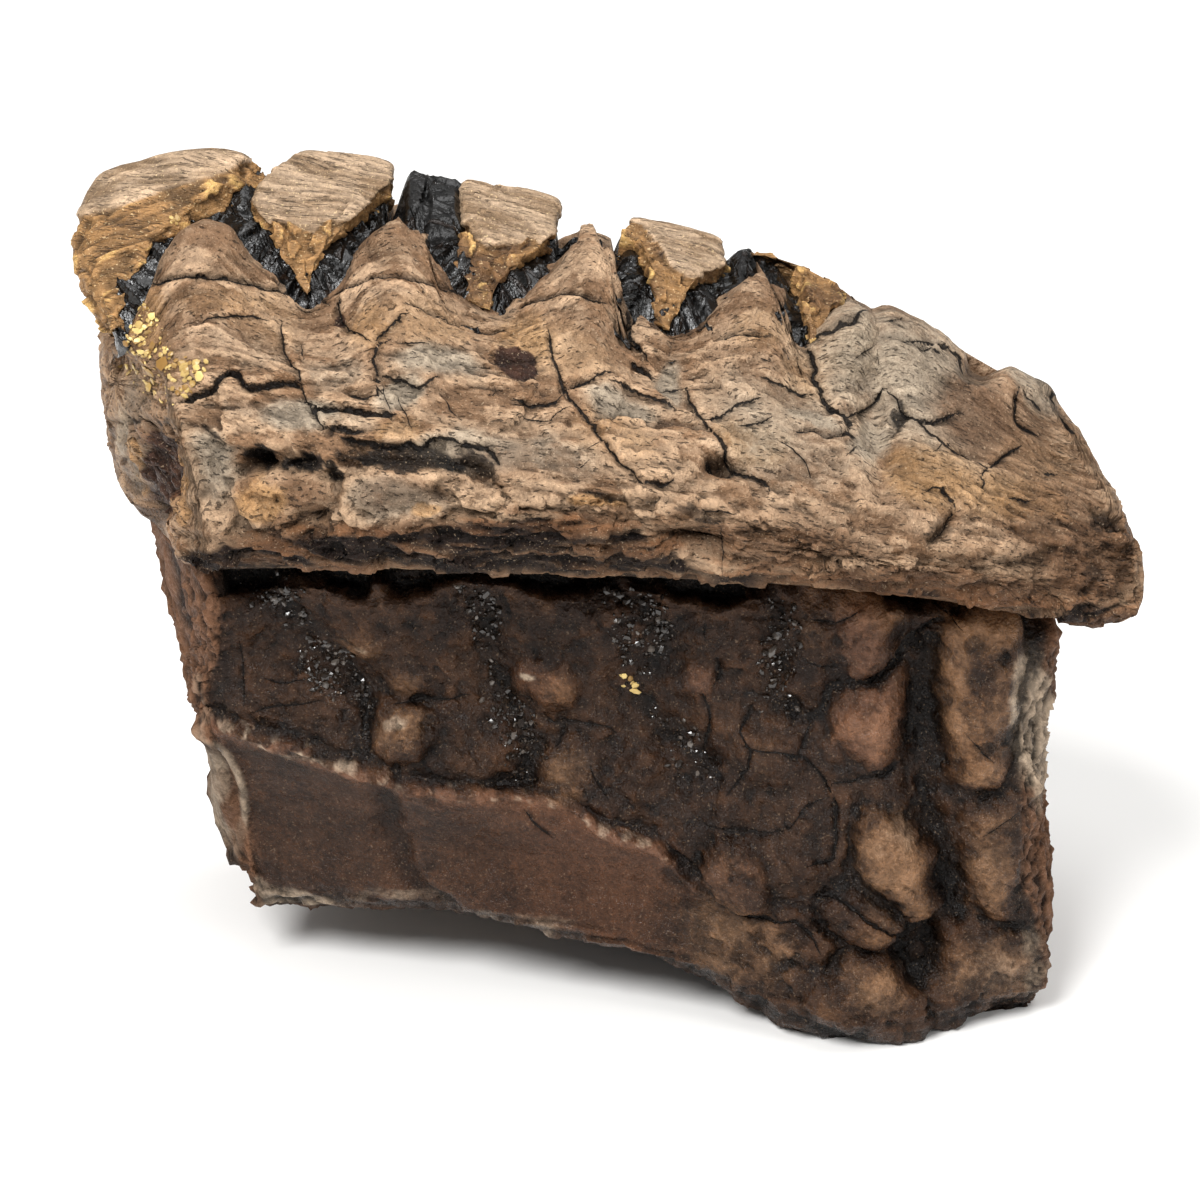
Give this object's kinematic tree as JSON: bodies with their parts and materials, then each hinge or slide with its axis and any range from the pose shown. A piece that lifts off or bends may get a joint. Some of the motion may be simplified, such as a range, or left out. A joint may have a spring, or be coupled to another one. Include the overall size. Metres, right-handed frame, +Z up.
{
  "type": "fossil mammoth molar",
  "caption": "Partial fossil mammoth molar, broken lengthwise: folded enamel and cement wedges over a dentine crown and a root mass with a flat resting spot.",
  "frame": {"origin": "middle of the bounding box's underside, on the surface that the tooth rests on", "axes": "+X along the tooth towards its low end, -Y towards the viewer of the broken side, +Z up to the chewing face"},
  "size_m": [0.128, 0.0668, 0.1044],
  "materials": {
    "fossil_tooth": "worn and broken mineralised tooth, matt on dentine and cement, glossy black on enamel"
  },
  "bodies": {
    "root": {"molar": "fossil_tooth"}
  },
  "joints": []
}
